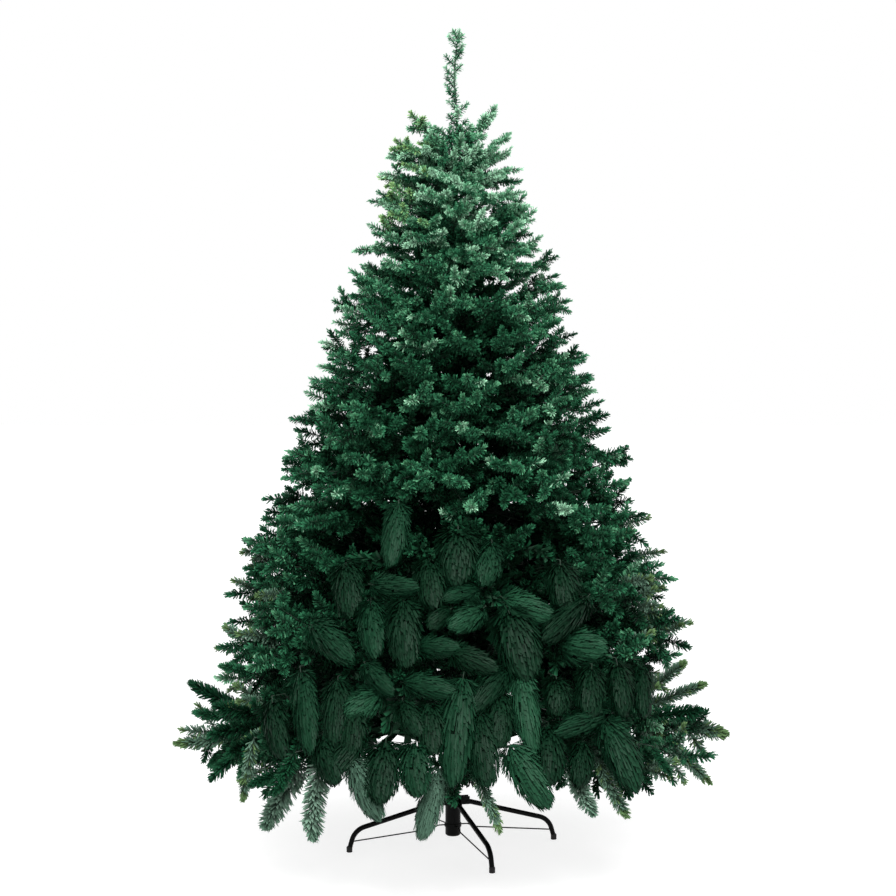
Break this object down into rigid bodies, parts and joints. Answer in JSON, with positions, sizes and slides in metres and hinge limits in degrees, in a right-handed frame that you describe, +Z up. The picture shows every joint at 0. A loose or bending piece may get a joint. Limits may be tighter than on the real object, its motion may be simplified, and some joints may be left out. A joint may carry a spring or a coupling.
{
  "type": "artificial christmas tree",
  "caption": "Full conical artificial fir with drooping lowest branches and an upright top shoot, on a central pole in a folding tube stand.",
  "frame": {"origin": "on the floor, on the pole's axis, under the centre of the crown and of the stand", "axes": "+Z up along the pole; the tree is seen from -Y in its picture, so +X is to its right"},
  "size_m": [1.2272, 1.2272, 1.7995],
  "materials": {
    "pole": "dark green enamelled steel tube, semi-gloss",
    "stand": "black enamelled steel tube, strip and wire, semi-gloss",
    "foot_cap": "black push-on rubber caps, matt",
    "bough": "dark green coated steel wire",
    "needles": "cut PVC film needles in dark to mid green, slightly glossy"
  },
  "bodies": {
    "root": {"pole": "pole", "stand_socket": "stand", "stand_leg_1": "stand", "stand_leg_2": "stand", "stand_leg_3": "stand", "stand_leg_4": "stand", "stand_brace_1": "stand", "stand_brace_2": "stand", "stand_brace_3": "stand", "stand_brace_4": "stand", "foot_cap_1": "foot_cap", "foot_cap_2": "foot_cap", "foot_cap_3": "foot_cap", "foot_cap_4": "foot_cap", "bough_1": "bough", "bough_2": "bough", "bough_3": "bough", "bough_4": "bough", "bough_5": "bough", "bough_6": "bough", "bough_7": "bough", "bough_8": "bough", "foliage_tier1_1": "needles", "foliage_tier1_2": "needles", "foliage_tier1_3": "needles", "foliage_tier1_4": "needles", "foliage_tier1_5": "needles", "foliage_tier1_6": "needles", "foliage_tier1_7": "needles", "foliage_tier1_8": "needles", "foliage_tier2_1": "needles", "foliage_tier2_2": "needles", "foliage_tier2_3": "needles", "foliage_tier2_4": "needles", "foliage_tier2_5": "needles", "foliage_tier2_6": "needles", "foliage_tier3_1": "needles", "foliage_tier3_2": "needles", "foliage_tier3_3": "needles", "foliage_tier3_4": "needles", "foliage_tier3_5": "needles", "foliage_tier4_1": "needles", "foliage_tier4_2": "needles", "foliage_tier4_3": "needles", "foliage_tier4_4": "needles", "foliage_tier4_5": "needles", "foliage_tier5_1": "needles", "foliage_tier5_2": "needles", "foliage_tier5_3": "needles", "foliage_tier5_4": "needles", "foliage_tier6_1": "needles", "foliage_tier6_2": "needles", "foliage_tier6_3": "needles", "foliage_tier7_1": "needles", "foliage_tier7_2": "needles", "foliage_tier7_3": "needles", "foliage_tier8_1": "needles", "foliage_tier8_2": "needles", "foliage_tier8_3": "needles", "foliage_leader": "needles"}
  },
  "joints": []
}
